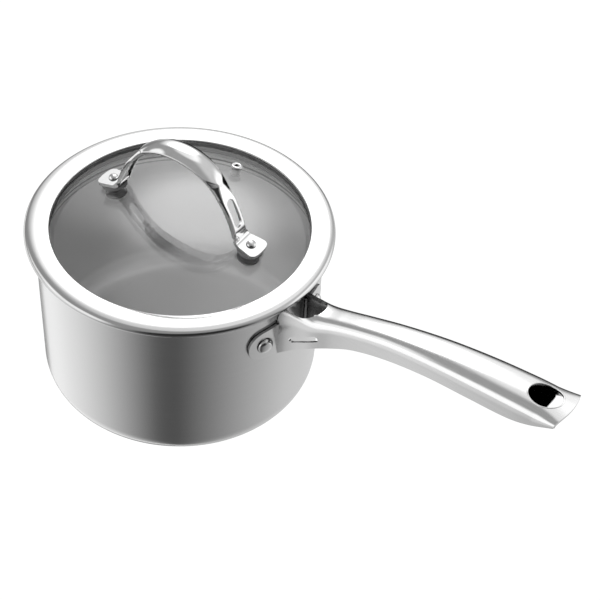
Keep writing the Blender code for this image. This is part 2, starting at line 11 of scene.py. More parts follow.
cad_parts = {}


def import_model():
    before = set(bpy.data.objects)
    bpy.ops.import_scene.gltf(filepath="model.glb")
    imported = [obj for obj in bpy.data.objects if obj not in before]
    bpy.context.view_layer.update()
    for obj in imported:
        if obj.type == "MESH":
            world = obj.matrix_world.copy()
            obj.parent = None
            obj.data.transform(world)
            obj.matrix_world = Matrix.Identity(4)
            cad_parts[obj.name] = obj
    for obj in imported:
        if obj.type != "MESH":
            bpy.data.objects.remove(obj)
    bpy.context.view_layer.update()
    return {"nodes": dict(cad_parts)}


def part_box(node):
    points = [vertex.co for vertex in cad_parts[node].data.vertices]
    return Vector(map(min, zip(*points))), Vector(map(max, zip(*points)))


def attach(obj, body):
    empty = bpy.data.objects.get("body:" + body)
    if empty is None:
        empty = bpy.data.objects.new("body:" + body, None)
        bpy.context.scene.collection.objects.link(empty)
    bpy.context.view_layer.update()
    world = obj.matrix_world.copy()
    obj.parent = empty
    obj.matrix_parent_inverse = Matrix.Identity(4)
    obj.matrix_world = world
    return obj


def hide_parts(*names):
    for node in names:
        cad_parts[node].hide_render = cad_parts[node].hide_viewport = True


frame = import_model()

# --- sizes read from the frame ------------------------------------------------
PAN_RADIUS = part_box("pan_outer_shell")[1].x
PAN_WALL_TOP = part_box("pan_outer_shell")[1].z
LIP_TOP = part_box("pan_inner_shell")[1].z
RIM_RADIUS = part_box("lid_rim")[1].x
RIM_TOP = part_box("lid_rim")[1].z
SKIRT_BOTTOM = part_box("lid_rim")[0].z
GLASS_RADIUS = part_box("lid_glass")[1].x
GLASS_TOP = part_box("lid_glass")[1].z
HANDLE_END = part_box("handle_upper_shell")[1].x
TRAY_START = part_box("handle_lower_shell")[0].x
TRAY_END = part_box("handle_lower_shell")[1].x
GRIP_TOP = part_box("lid_handle_outer")[1].z

# --- pan: other sizes, as in the CAD source -----------------------------------
GAP = 0.0003                  # clearance between neighbouring pieces
PAN_CORNER_RADIUS = 0.0153
OUTER_LAYER, CORE_LAYER, INNER_LAYER = 0.0008, 0.0012, 0.0007
WALL_EDGE = 0.00025           # bevel on the outer layer's top edge
LIP_FLARE = 0.0062            # radius of the lip's outward curve
LIP_LEVEL = 0.0006            # flat part beyond the curve

# --- long handle --------------------------------------------------------------
HANDLE_SHEET = 0.0014
ROUNDNESS = 2.6               # exponent of the rounded top
ROUND_LIMIT = 0.92            # largest share of the section's height that is rounded
# along the handle: X, half width, crown height, lower edge height, and the height of
# the rounded top as a share of the half width
HANDLE_STATIONS = (
    (0.0775, 0.0145, 0.1036, 0.0665, 1.60),
    (0.0810, 0.0132, 0.1035, 0.0687, 1.60),
    (0.0845, 0.0122, 0.1033, 0.0714, 1.45),
    (0.0900, 0.0115, 0.1030, 0.0760, 1.15),
    (0.1000, 0.0112, 0.1034, 0.0836, 0.88),
    (0.1120, 0.0098, 0.1075, 0.0910, 0.75),
    (0.1250, 0.0095, 0.1123, 0.0985, 0.70),
    (0.1450, 0.0100, 0.1190, 0.1062, 0.70),
    (0.1700, 0.0114, 0.1253, 0.1130, 0.70),
    (0.1950, 0.0126, 0.1297, 0.1168, 0.70),
    (0.2180, 0.0132, 0.1326, 0.1198, 0.70),
    (0.2300, 0.0132, 0.1336, 0.1232, 0.70),
    (0.2434, 0.0130, 0.1340, 0.1296, 0.70),
)
BOW_START, BOW_DEPTH, BOW_WIDTH = 0.2150, 0.0025, 0.0132    # the free end's curve
WING_SHEET = 0.0015
WING_ANGLE = math.radians(15.6)
WING_RADIUS = 0.0099
WING_HEIGHTS = (0.0660, 0.0940)
WING_OVERLAP, WING_CUT = 0.0010, 0.0120     # into the wall, trimmed later; cutter's length
NECK_REACH = 0.0106           # from the rivet to where the wing meets the handle
NECK_BELOW, NECK_ABOVE = 0.0016, 0.0010     # how much the neck is taller than the wing
RIVET_HEIGHT = 0.0800
HANDLE_SHANK = 0.0026
HANDLE_HEAD = (0.0047, 0.0027)              # radius and rise
HANDLE_TAIL = (0.0042, 0.0014)
NOTCH_CENTRE, NOTCH_RADIUS, NOTCH_START = 0.0905, 0.0092, 0.0700
NOTCH_LEVEL = 0.1000
RIM_CLEAR_RADIUS = 0.0838     # the arms stay outside this under the lid's band
RIM_CLEAR_HEIGHTS = (0.0998, 0.1012)
CLEAR_HEIGHTS = (0.0300, 0.1300)            # ends of the cutter that frees the wall
SIDE_SLOT_CENTRE, SIDE_SLOT_LEAN = (0.0955, 0.0875), 34.0
SIDE_SLOT_SIZE = (0.0105, 0.0018)           # half length and half width
HANGING_HOLE = (0.2290, 0.0092, 0.0074)     # X, half length, half width
HANGING_HOLE_LEVEL = 0.1300
HOLE_BEAD, HOLE_BEAD_SINK = 0.00042, 0.00022
TRAY_SHEET, TRAY_WALL, TRAY_SAG, TRAY_CORNER = 0.0012, 0.0024, 0.0010, 0.0022

# --- lid ----------------------------------------------------------------------
GLASS_THICKNESS = 0.0040
GLASS_EDGE_TOP = 0.1040
GLASS_CUT = 0.0200            # length of the cutters for the glass's holes
RIM_INNER_RADIUS = 0.0720
RIM_SHEET = 0.0008
SKIRT_RADIUS = 0.0762
SKIRT_EDGE = 0.0002
SKIRT_FILLET, SKIRT_FILLET_INSIDE = 0.0014, 0.0019
BAND_FLOOR = 0.1028           # underside of the band, where it rests on the pan's lip
SHELF_RADIUS, SHELF_HEIGHTS = 0.0727, (0.0976, 0.0984)
# the band's upper and lower faces: radius and height
BAND_OVER = (
    (RIM_INNER_RADIUS, 0.1061), (0.0726, 0.1065), (0.0758, 0.1069), (0.0800, RIM_TOP),
    (0.0827, 0.1068), (0.0845, 0.1062), (RIM_RADIUS, 0.1049), (RIM_RADIUS, 0.1038),
    (0.0846, BAND_FLOOR),
)
BAND_UNDER = (
    (0.0840, BAND_FLOOR + RIM_SHEET), (0.0846, 0.1048), (0.0829, 0.1059), (0.0800, 0.1062),
    (0.0750, 0.1060), (RIM_INNER_RADIUS, 0.1055),
)
SEAL_PROFILE = (
    (0.0717, 0.1050), (0.0719, 0.1052), (0.0750, 0.1052), (0.0750, 0.0988), (0.0728, 0.0988),
    (0.0728, 0.0994), (0.0743, 0.0994), (0.0743, 0.1047), (0.0717, 0.1047),
)
LID_HANDLE_ANGLE = math.radians(5.25)
LID_RIVET_DISTANCE = 0.0456
LID_SHANK = 0.0016
LID_HEAD = (0.0027, 0.0017)                 # radius and rise
LID_TAIL = (0.0038, 0.0012)
PAD_RADIUS, PAD_SHEET = 0.0072, 0.0022
GASKET_RADIUS, GASKET_SHEET = 0.0062, 0.0012
WASHER_RADIUS, WASHER_SHEET = 0.0056, 0.0008
WASHER_EDGE = 0.00015
VENT_DISTANCE = 0.0556
VENT_ANGLE = LID_HANDLE_ANGLE + math.radians(91.2)
VENT_BARREL, VENT_BORE = 0.0022, 0.0013
VENT_TOP = ((VENT_BORE, 0.0006), (0.0017, 0.0011), (0.0026, 0.0012), (0.0035, 0.0007),
            (0.0035, GAP))
VENT_JOIN = -0.0004           # the steel eyelet's lower edge, inside the glass
VENT_FLANGE = (0.0032, 0.0007)              # radius and thickness under the glass

# --- lid handle ---------------------------------------------------------------
STRAP_SHEET = 0.0014
# right half of the lid's strap: distance from the lid's axis, height, half width,
# crown of the section, depth of its turned edges
STRAP_STATIONS = (
    (0.0000, GRIP_TOP - 0.0024, 0.0074, 0.0024, 0.0012),
    (0.0075, 0.1557, 0.0073, 0.0024, 0.0012),
    (0.0140, 0.1536, 0.0070, 0.0022, 0.0013),
    (0.0195, 0.1507, 0.0065, 0.0017, 0.0015),
    (0.0245, 0.1469, 0.0059, 0.0011, 0.0020),
    (0.0287, 0.1416, 0.0055, 0.0008, 0.0022),
    (0.0329, 0.1355, 0.0053, 0.0007, 0.0024),
    (0.0360, 0.1296, 0.0052, 0.0006, 0.0024),
    (0.0385, 0.1236, 0.0052, 0.0005, 0.0024),
    (0.0396, 0.1196, 0.0055, 0.0003, 0.0020),
)
FOOT_LEVEL = PAD_SHEET + 2 * GAP
FOOT_SHEET = 0.0020
# the foot, a tab with rounded corners: distance out from the rivet, lift, half width
FOOT_SPOTS = (
    (-0.0063, 0.0012, 0.0058), (-0.0050, 0.0001, 0.0061), (-0.0020, 0.0, 0.0067),
    (0.0035, 0.0, 0.0074), (0.0050, 0.0, 0.0071), (0.0060, 0.0, 0.0063),
    (0.0066, 0.0, 0.0053), (0.0071, 0.0, 0.0030), (0.0072, 0.0, 0.0008),
)
LEG_SLOT = (0.0352, 0.1312, 26.0)           # distance out, height, lean
LEG_SLOT_SIZE = (0.0086, 0.0029)            # half length and half width
NOSE_END, NOSE_LENGTH = 0.0262, 0.0060      # where the crown's bulge ends along the strap
NOSE_ROUNDING = 1.05
NOSE_FADE = (-0.0016, 0.0004)
CROWN_POWER = 2.4
LEG_CROWN = 0.35              # the leg's crown as a share of the grip's
SHOULDER_DROP = 0.0022
SHOULDER_RUN = (-0.0020, 0.0060)            # from the nose, where the shoulders move out
SHOULDER_START, SHOULDER_SPREAD, SHOULDER_FADE = 0.15, 0.67, 0.75
EDGE_SHARES = (0.35, 0.60)    # heights of the turned edge's points, as shares of its depth
EDGE_START, EDGE_SIDE = 0.980, 0.985        # shares of the half width: curve ends, side starts
EDGE_DROP = (0.33, 0.0012)    # lowest curve point: share of the depth, and more
EDGE_LIP = 0.0002
FOOT_DEPTH = 0.0005           # sections with less depth than this belong to a foot
FOOT_BLEND = 0.0020           # depth at which the sheet would be the strap's
STRAP_CUT = 0.0120            # length of the leg slots' cutter
FOOT_CUT, FOOT_CUT_LEVEL = 0.0080, 0.0030
LINER_SHEET = 0.0010
LINER_STATIONS = 6            # the liner closes the strap as far as this station

STEPS = 288                   # facets round the large turned pieces
SMALL_STEPS = 64              # facets round the small ones
THROUGH = 0.05                # a cutter this long goes right through a wall

# --- surfaces -----------------------------------------------------------------
NOISE_RANGE = (0.3, 0.7)      # where nearly all of a noise's values lie
REFLECTION_LINES_START = 0.0870          # height above which the inside carries painted dark lines that stand in for reflections
REFLECTION_LINE_PITCH = 0.0030
REFLECTION_LINE_EDGES = (0.1, 0.8)     # part of a sine wave in which a painted reflection line darkens
REFLECTION_LINE_DEPTH = 0.85           # how much of the steel's own shade a painted reflection line covers
# fade-in height and colour of the painted reflection lines
REFLECTION_LINE_FADE, REFLECTION_LINE_SHADE = 0.0010, (0.02, 0.02, 0.02)
CORNER_HIGHLIGHT_HEIGHTS = (0.0040, 0.0070, 0.0120, 0.0200)   # painted highlight on the inside's rounded corner: fades in, full, full, fades out
CORNER_HIGHLIGHT_CONTRAST = 0.80        # shade of the floor and the wall against the corner's painted highlight
GLASS_GLOSS = 0.09            # share of light that each face of the glass reflects
# painted shade: ambient occlusion darkens the steel's colour in slots, seams and crevices
CREVICE_SHADE_REACH = 0.024
CREVICE_SHADE_SHUT, CREVICE_SHADE_OPEN = 0.10, 0.85     # shares of open sky: painted shade darkest, painted shade gone
CREVICE_SHADE_TONE = 0.06           # share of the steel's shade left under the painted shade in a closed crevice

# --- studio -------------------------------------------------------------------
CAMERA_PLACE = (0.3852, -0.4353, 0.6252)
CAMERA_TURN = (34.7, 44.716, -4.710)        # round from -Y, down, roll
CAMERA_LENS = 84.43
FLOOR_SIZE, FLOOR_DROP = 6.0, 0.0004
WHITE = 1.05                  # what the camera sees of the floor and the background
# azimuth and elevation of the panel from the lid, its distance, size and brightness
PANEL_DIRECTION = (126.0, 40.0)
PANEL_DISTANCE = 0.62
PANEL_CORE = 0.07
PANEL_RADIUS = 0.28
PANEL_STRENGTH = 2.7
FILL_DIRECTION = (-84.0, 30.0)
FILL_ENERGY, FILL_ANGLE = 2.0, 45.0
# azimuth of a downward direction and the brightness there, times FLOOR_LEVEL
FLOOR_LEVEL = 1.2
FLOOR_TONES = ((-180.0, 0.86), (-171.0, 0.86), (-140.0, 0.70), (-120.0, 0.55), (-69.0, 0.08),
               (-52.0, 0.06), (0.0, 0.31), (51.0, 0.54), (100.0, 0.60), (138.0, 0.58),
               (147.0, 0.20), (160.0, 0.20), (166.0, 0.86), (180.0, 0.86))
# height of an upward direction (0 level, 1 overhead) and its brightness
SKY_TONES = ((0.0, 0.30), (0.25, 0.34), (0.55, 0.36), (1.0, 0.38))
HORIZON = (-0.06, 0.06)       # heights between which the two blend
DARKEST = 0.03
# azimuth, elevation, angle of the even core, angle where it has faded out, strength
SOFT_LIGHTS = (
    (128.0, 28.0, 12.0, 30.0, 0.65),
    (-122.0, 12.0, 14.0, 34.0, 0.90),
    (-158.0, 26.0, 8.0, 22.0, 0.75),
    (60.0, 35.0, 15.0, 55.0, 0.30),
    (-40.0, 6.0, 25.0, 46.0, -0.40),
    (118.0, 62.0, 10.0, 27.0, 0.55),
    (50.0, 5.0, 16.0, 34.0, 0.75),
)
FLOOR_LIGHTS = (
    (117.0, -14.0, 9.0, 20.0, -1.0),
    (-120.0, -10.0, 10.0, 30.0, 0.15),
    (50.0, -3.0, 14.0, 28.0, 0.50),
)


# --- materials ----------------------------------------------------------------
class Shorthand:
    """Shorthand for building a node tree."""

    def __init__(self, tree):
        self.tree = tree

    def add(self, kind, **inputs):
        node = self.tree.nodes.new(kind)
        for name, value in inputs.items():
            self.put(node, name.replace("_", " "), value)
        return node

    def put(self, node, name, value):
        """Sets an input, or links it when the value is another node's output."""
        if isinstance(value, bpy.types.NodeSocket):
            self.tree.links.new(value, node.inputs[name])
        else:
            node.inputs[name].default_value = value

    def math(self, operation, a, b=0.0):
        node = self.add("ShaderNodeMath")
        node.operation = operation
        self.put(node, 0, a)
        self.put(node, 1, b)
        return node.outputs[0]

    def position(self):
        split = self.add("ShaderNodeSeparateXYZ",
                         Vector=self.add("ShaderNodeTexCoord").outputs["Object"])
        return split.outputs

    def radius(self, x, y):
        return self.math("SQRT", self.math("ADD", self.math("MULTIPLY", x, x),
                                           self.math("MULTIPLY", y, y)))

    def grain(self, x, y, z, detail=2.0):
        vector = self.add("ShaderNodeCombineXYZ", X=x, Y=y, Z=z).outputs[0]
        noise = self.add("ShaderNodeTexNoise", Vector=vector, Scale=1.0, Detail=detail,
                         Roughness=0.6)
        return noise.outputs[0]

    def between(self, value, low, high):
        """Spreads the noise's usual range over low to high."""
        node = self.add("ShaderNodeMapRange", Value=value, From_Min=NOISE_RANGE[0],
                        From_Max=NOISE_RANGE[1], To_Min=low, To_Max=high)
        return node.outputs[0]

    def tint(self, value, low, high):
        node = self.add("ShaderNodeValToRGB", Fac=value)
        for element, position, colour in zip(node.color_ramp.elements, NOISE_RANGE, (low, high)):
            element.position = position
            element.color = (*colour, 1.0)
        return node.outputs[0]

    def ramp(self, value, tones):
        """Grey tones at positions between 0 and 1."""
        node = self.add("ShaderNodeValToRGB", Fac=value)
        elements = node.color_ramp.elements
        for k, (position, tone) in enumerate(sorted(tones)):
            element = elements[k] if k < 2 else elements.new(position)
            element.position = position
            element.color = (tone, tone, tone, 1.0)
        return node.outputs[0]

    def fade(self, value, start, end, top):
        """Rises smoothly from 0 at start to top at end."""
        node = self.add("ShaderNodeMapRange", Value=value, From_Min=start, From_Max=end,
                        To_Min=0.0, To_Max=top)
        node.interpolation_type = "SMOOTHERSTEP"
        return node.outputs[0]

    def mixed(self, kind, share, first, second):
        """Mixes two colours or two shaders; share 1 is all second."""
        node = self.add(kind)
        for socket, value in enumerate((share, first, second)):
            self.put(node, socket, value)
        return node.outputs[0]


class Nodes(Shorthand):
    """One material's node tree and its Principled shader."""

    def __init__(self, name):
        self.material = bpy.data.materials.new(name)
        self.material.use_nodes = True
        super().__init__(self.material.node_tree)
        self.shader = self.tree.nodes["Principled BSDF"]

    def painted_reflection_lines(self, start, pitch):
        """Painted reflections: dark lines round a pan's wall, above the height start."""
        z = self.position()[2]
        wave = self.math("SINE", self.math("MULTIPLY", z, 2 * math.pi / pitch))
        line = self.math("MULTIPLY", self.fade(wave, *REFLECTION_LINE_EDGES, REFLECTION_LINE_DEPTH),
                         self.fade(z, start, start + REFLECTION_LINE_FADE, 1.0))
        colour = self.shader.inputs["Base Color"].links[0].from_socket
        self.put(self.shader, "Base Color", self.mixed("ShaderNodeMixRGB", line, colour,
                                                       (*REFLECTION_LINE_SHADE, 1.0)))

    def painted_corner_highlight(self, heights, share):
        """Painted highlight: the rounded corner keeps its shade; the floor and the wall are
        darker by share.
        """
        z = self.position()[2]
        a, b, c, d = heights
        corner = self.math("SUBTRACT", self.fade(z, a, b, 1.0), self.fade(z, c, d, 1.0))
        self.scale_colour(self.math("ADD", self.math("MULTIPLY", corner, 1.0 - share), share))

    def scale_colour(self, tone):
        colour = self.shader.inputs["Base Color"].links[0].from_socket
        scale = self.add("ShaderNodeVectorMath")
        scale.operation = "SCALE"
        self.put(scale, 0, colour)
        self.put(scale, "Scale", tone)
        self.put(self.shader, "Base Color", scale.outputs[0])

    def painted_crevice_shade(self, reach):
        """Painted shade: slots and seams are darker where other surfaces close them in within
        reach.
        """
        node = self.add("ShaderNodeAmbientOcclusion", Distance=reach)
        node.samples = 8
        tone = self.fade(node.outputs["AO"], CREVICE_SHADE_SHUT, CREVICE_SHADE_OPEN, 1.0 - CREVICE_SHADE_TONE)
        self.scale_colour(self.math("ADD", tone, CREVICE_SHADE_TONE))
        return self

    def brushed_round(self, amount):
        """Stretches the gloss as brushing round the Z axis does."""
        tangent = self.add("ShaderNodeTangent")
        tangent.direction_type = "RADIAL"
        tangent.axis = "Z"
        self.put(self.shader, "Anisotropic", amount)
        self.put(self.shader, "Tangent", tangent.outputs[0])
        return self


def round_grain(fine):
    """Noise that runs in circles round the Z axis."""
    def grain(nodes):
        x, y, z = nodes.position()
        across = nodes.math("MULTIPLY", nodes.radius(x, y), fine)
        return nodes.grain(nodes.math("ADD", across, nodes.math("MULTIPLY", x, 9.0)),
                           nodes.math("MULTIPLY", y, 9.0), nodes.math("MULTIPLY", z, fine))
    return grain


def straight_grain(along, across, detail=2.0):
    """Noise stretched along X when along is smaller than across, else even."""
    def grain(nodes):
        x, y, z = nodes.position()
        return nodes.grain(nodes.math("MULTIPLY", x, along), nodes.math("MULTIPLY", y, across),
                           nodes.math("MULTIPLY", z, across), detail)
    return grain


def steel(name, shade, roughness, spread, grain):
    """Steel whose shade and roughness vary a little along the grain."""
    nodes = Nodes(name)
    value = grain(nodes)
    nodes.put(nodes.shader, "Base Color",
              nodes.tint(value, (shade * (1.0 - spread),) * 3, (shade,) * 3))
    nodes.put(nodes.shader, "Roughness", nodes.between(value, roughness * (1.0 - 2 * spread),
                                                       roughness * (1.0 + 2 * spread)))
    nodes.put(nodes.shader, "Metallic", 1.0)
    return nodes


def glass_material():
    """Clear glass: see-through, with a reflection that grows towards grazing angles."""
    nodes = Nodes("clear_glass")
    tree = nodes.tree
    tree.nodes.remove(nodes.shader)
    through = nodes.add("ShaderNodeBsdfTransparent", Color=(0.97, 0.97, 0.97, 1.0))
    gloss = nodes.add("ShaderNodeBsdfGlossy", Color=(1.0, 1.0, 1.0, 1.0), Roughness=0.02)
    weight = nodes.add("ShaderNodeLayerWeight", Blend=0.5)
    grazing = nodes.math("POWER", weight.outputs["Facing"], 5.0)
    share = nodes.math("ADD", nodes.math("MULTIPLY", grazing, 1.0 - GLASS_GLOSS), GLASS_GLOSS)
    surface = nodes.mixed("ShaderNodeMixShader", share, through.outputs[0], gloss.outputs[0])
    nodes.put(tree.nodes["Material Output"], "Surface", surface)
    return nodes.material


def silicone(name, shade):
    nodes = Nodes(name)
    value = straight_grain(900.0, 900.0)(nodes)
    nodes.put(nodes.shader, "Base Color", nodes.tint(value, (shade * 0.85,) * 3, (shade,) * 3))
    nodes.put(nodes.shader, "Roughness", nodes.between(value, 0.45, 0.6))
    return nodes.material


# steel: name, shade, roughness, the share by which both vary, grain
BODY = steel("brushed_body", 0.80, 0.19, 0.02, round_grain(900.0))
# painted shade darkens the body's crevices
BODY = BODY.brushed_round(0.75).painted_crevice_shade(CREVICE_SHADE_REACH).material
INSIDE = steel("satin_inside", 1.0, 0.38, 0.04, round_grain(1400.0))
INSIDE.put(INSIDE.shader, "Metallic", 0.8)
# painted reflection: dark lines near the top of the inside wall
INSIDE.painted_reflection_lines(REFLECTION_LINES_START, REFLECTION_LINE_PITCH)
# painted highlight along the rounded corner inside the pan
INSIDE.painted_corner_highlight(CORNER_HIGHLIGHT_HEIGHTS, CORNER_HIGHLIGHT_CONTRAST)
INSIDE = INSIDE.brushed_round(0.5).material
BAND = steel("polished_band", 0.67, 0.16, 0.01, straight_grain(250.0, 250.0))
# painted shade darkens the band's crevices
BAND = BAND.painted_crevice_shade(CREVICE_SHADE_REACH).material
HANDLE = steel("satin_handle", 0.84, 0.17, 0.06, straight_grain(25.0, 1500.0, 4.0))
# painted shade darkens the handle's slots and seams
HANDLE = HANDLE.painted_crevice_shade(CREVICE_SHADE_REACH).material
STRAP = steel("polished_strap", 0.86, 0.09, 0.04, straight_grain(350.0, 350.0))
# painted shade darkens the strap's slots and crevices
STRAP = STRAP.painted_crevice_shade(CREVICE_SHADE_REACH).material
RIVET = steel("rivet_steel", 0.80, 0.16, 0.04, straight_grain(500.0, 500.0)).material
CORE = steel("rolled_aluminium", 0.72, 0.45, 0.05, round_grain(900.0)).material
GLASS = glass_material()
PAD = silicone("grey_silicone", 0.13)
SEAL = silicone("seal_silicone", 0.12)
PALE_SEAL = silicone("pale_silicone", 0.45)


# --- mesh helpers -------------------------------------------------------------
def mesh_object(name, points, faces):
    mesh = bpy.data.meshes.new(name)
    mesh.from_pydata([tuple(p) for p in points], [], faces)
    mesh.update()
    obj = bpy.data.objects.new(name, mesh)
    bpy.context.scene.collection.objects.link(obj)
    return obj


def outward(obj):
    bm = bmesh.new()
    bm.from_mesh(obj.data)
    bmesh.ops.recalc_face_normals(bm, faces=bm.faces)
    bm.to_mesh(obj.data)
    bm.free()


def boolean(obj, cutter, operation="DIFFERENCE"):
    """Applies one boolean and removes the cutter."""
    modifier = obj.modifiers.new("cut", "BOOLEAN")
    modifier.operation = operation
    modifier.object = cutter
    modifier.solver = "EXACT"
    graph = bpy.context.evaluated_depsgraph_get()
    result = bpy.data.meshes.new_from_object(obj.evaluated_get(graph))
    obj.modifiers.clear()
    obj.data = result
    bpy.data.objects.remove(cutter)


def finished(obj, material, body, nodes, degrees=32):
    """Material, smooth shading, CAD body and the CAD nodes that the piece stands for."""
    obj.data.materials.clear()
    obj.data.materials.append(material)
    for face in obj.data.polygons:
        face.material_index = 0
    obj.data.shade_smooth()
    obj.data.set_sharp_from_angle(angle=math.radians(degrees))
    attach(obj, body)
    if nodes:
        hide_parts(*nodes)
    return obj


def turned(name, profile, closed=False, steps=STEPS, matrix=None):
    """A (radius, height) profile turned about Z; points on the axis become one vertex."""
    points, rows = [], []
    for r, z in profile:
        if r < 1e-7:
            rows.append([len(points)] * steps)
            points.append(Vector((0.0, 0.0, z)))
            continue
        rows.append(range(len(points), len(points) + steps))
        for i in range(steps):
            a = 2 * math.pi * i / steps
            points.append(Vector((r * math.cos(a), r * math.sin(a), z)))
    faces = []
    count = len(profile)
    for k in range(count if closed else count - 1):
        low, high = rows[k], rows[(k + 1) % count]
        for i in range(steps):
            j = (i + 1) % steps
            corners = [low[i], low[j], high[j], high[i]]
            unique = list(dict.fromkeys(corners))
            if len(unique) > 2:
                faces.append(unique)
    if matrix is not None:
        points = [matrix @ p for p in points]
    obj = mesh_object(name, points, faces)
    outward(obj)
    return obj


def arc(centre, radius, start, end, count):
    angles = [math.radians(start + (end - start) * i / (count - 1)) for i in range(count)]
    return [(centre[0] + radius * math.cos(a), centre[1] + radius * math.sin(a)) for a in angles]


def smooth_line(rows, per_span):
    """A smooth line (Catmull-Rom) through rows of numbers, with more rows between them."""
    line = []
    last = len(rows) - 1
    for i in range(last):
        p0, p1, p2, p3 = rows[max(i - 1, 0)], rows[i], rows[i + 1], rows[min(i + 2, last)]
        for k in range(per_span):
            t = k / per_span
            line.append(tuple(0.5 * (2 * b + (c - a) * t + (2 * a - 5 * b + 4 * c - d) * t * t
                                     + (3 * b - a - 3 * c + d) * t ** 3)
                              for a, b, c, d in zip(p0, p1, p2, p3)))
    return line + [rows[-1]]


def cylinder(radius, depth, matrix, segments=48):
    profile = [(0.0, depth / 2), (radius, depth / 2), (radius, -depth / 2), (0.0, -depth / 2)]
    return turned("cutter", profile, steps=segments, matrix=matrix)


def prism(outline, depth, matrix):
    n = len(outline)
    low = [matrix @ Vector((x, y, -depth / 2)) for x, y in outline]
    high = [matrix @ Vector((x, y, depth / 2)) for x, y in outline]
    faces = [tuple(reversed(range(n))), tuple(range(n, 2 * n))]
    faces += [(i, (i + 1) % n, n + (i + 1) % n, n + i) for i in range(n)]
    obj = mesh_object("cutter", low + high, faces)
    outward(obj)
    return obj


def slot_outline(half_length, half_width, steps=16):
    right = arc((half_length - half_width, 0.0), half_width, -90, 90, steps)
    left = arc((half_width - half_length, 0.0), half_width, 90, 270, steps)
    return right + left


def stations_at(x, stations):
    """Smooth values between neighbouring stations."""
    last = len(stations) - 1
    i = max(k for k in range(last) if stations[k][0] <= x or k == 0)
    a, b = stations[i], stations[i + 1]
    before, after = stations[max(i - 1, 0)], stations[min(i + 2, last)]
    run = b[0] - a[0]
    t = (x - a[0]) / run
    values = []
    for k in range(1, len(a)):
        slope_a = (b[k] - before[k]) / (b[0] - before[0])
        slope_b = (after[k] - a[k]) / (after[0] - a[0])
        values.append((2 * t**3 - 3 * t**2 + 1) * a[k] + (t**3 - 2 * t**2 + t) * run * slope_a
                      + (3 * t**2 - 2 * t**3) * b[k] + (t**3 - t**2) * run * slope_b)
    return values


def shell_loft(name, rings):
    """Each ring runs along a section's outside and back along its inside."""
    n = len(rings[0])
    points = [p for ring in rings for p in ring]
    faces = []
    for r in range(len(rings) - 1):
        for i in range(n):
            j = (i + 1) % n
            faces.append((r * n + i, r * n + j, (r + 1) * n + j, (r + 1) * n + i))
    last = (len(rings) - 1) * n
    for i in range(n // 2 - 1):
        faces.append((i + 1, i, n - 1 - i, n - 2 - i))
        faces.append((last + i, last + i + 1, last + n - 2 - i, last + n - 1 - i))
    obj = mesh_object(name, points, faces)
    outward(obj)
    return obj


# --- pan ----------------------------------------------------------------------
def radial_frame(angle, radius, height):
    outwards = Vector((math.cos(angle), math.sin(angle), 0.0))
    up = Vector((0.0, 0.0, 1.0))
    matrix = Matrix((up.cross(outwards), up, outwards)).transposed().to_4x4()
    matrix.translation = outwards * radius + up * height
    return matrix


def wall_frames():
    return [(side, radial_frame(side * WING_ANGLE, PAN_RADIUS, RIVET_HEIGHT))
            for side in (-1, 1)]


def wall_holes(obj):
    for _, matrix in wall_frames():
        boolean(obj, cylinder(HANDLE_SHANK + GAP, THROUGH, matrix))


def pan_outside():
    centre = (PAN_RADIUS - PAN_CORNER_RADIUS, PAN_CORNER_RADIUS)
    profile = [(0.0, OUTER_LAYER)]
    profile += arc(centre, PAN_CORNER_RADIUS - OUTER_LAYER, 270, 360, 24)
    profile += [(PAN_RADIUS - OUTER_LAYER, PAN_WALL_TOP - WALL_EDGE),
                (PAN_RADIUS - OUTER_LAYER + WALL_EDGE, PAN_WALL_TOP),
                (PAN_RADIUS - WALL_EDGE, PAN_WALL_TOP), (PAN_RADIUS, PAN_WALL_TOP - WALL_EDGE)]
    profile += arc(centre, PAN_CORNER_RADIUS, 360, 270, 24) + [(0.0, 0.0)]
    obj = turned("pan_body", profile)
    wall_holes(obj)
    finished(obj, BODY, "pan", ["pan_outer_shell"])


def pan_inside():
    inset = OUTER_LAYER + CORE_LAYER + 2 * GAP
    outer = PAN_RADIUS - inset
    corner = PAN_CORNER_RADIUS - inset
    centre = (outer - corner, PAN_CORNER_RADIUS)
    flare = (outer - INNER_LAYER + LIP_FLARE, LIP_TOP - LIP_FLARE)
    half = INNER_LAYER / 2
    profile = [(0.0, inset + INNER_LAYER)]
    profile += arc(centre, corner - INNER_LAYER, 270, 360, 24)
    profile += arc(flare, LIP_FLARE, 180, 90, 20)
    profile += arc((flare[0] + LIP_LEVEL - half, LIP_TOP - half), half, 90, -90, 7)
    profile += arc(flare, LIP_FLARE - INNER_LAYER, 90, 180, 20)
    profile += arc(centre, corner, 360, 270, 24) + [(0.0, inset)]
    obj = turned("pan_lining", profile)
    wall_holes(obj)
    finished(obj, INSIDE, "pan", ["pan_inner_shell"])


# --- long handle --------------------------------------------------------------
def round_rise(half_width, crown, edge, share):
    return min(share * half_width, (crown - edge) * ROUND_LIMIT)


def half_section(half_width, crown, edge, share, inset, steps=26):
    """Half of the handle's section: a straight side, then a rounded top."""
    width = half_width - inset
    top = crown - inset
    rise = round_rise(half_width, crown, edge, share) - inset * 0.5
    corner = top - rise
    points = [(width, edge + (corner - edge) * k / 4) for k in range(4)]
    for i in range(steps):
        t = 0.5 * math.pi * i / (steps - 1)
        points.append((width * math.cos(t) ** (2 / ROUNDNESS),
                       corner + rise * math.sin(t) ** (2 / ROUNDNESS)))
    return points


def end_bow(y, x):
    """The free end bows outwards: its corners lie a little further back."""
    reach = max(0.0, (x - BOW_START) / (HANDLE_END - BOW_START))
    return x - BOW_DEPTH * reach * (y / BOW_WIDTH) ** 2


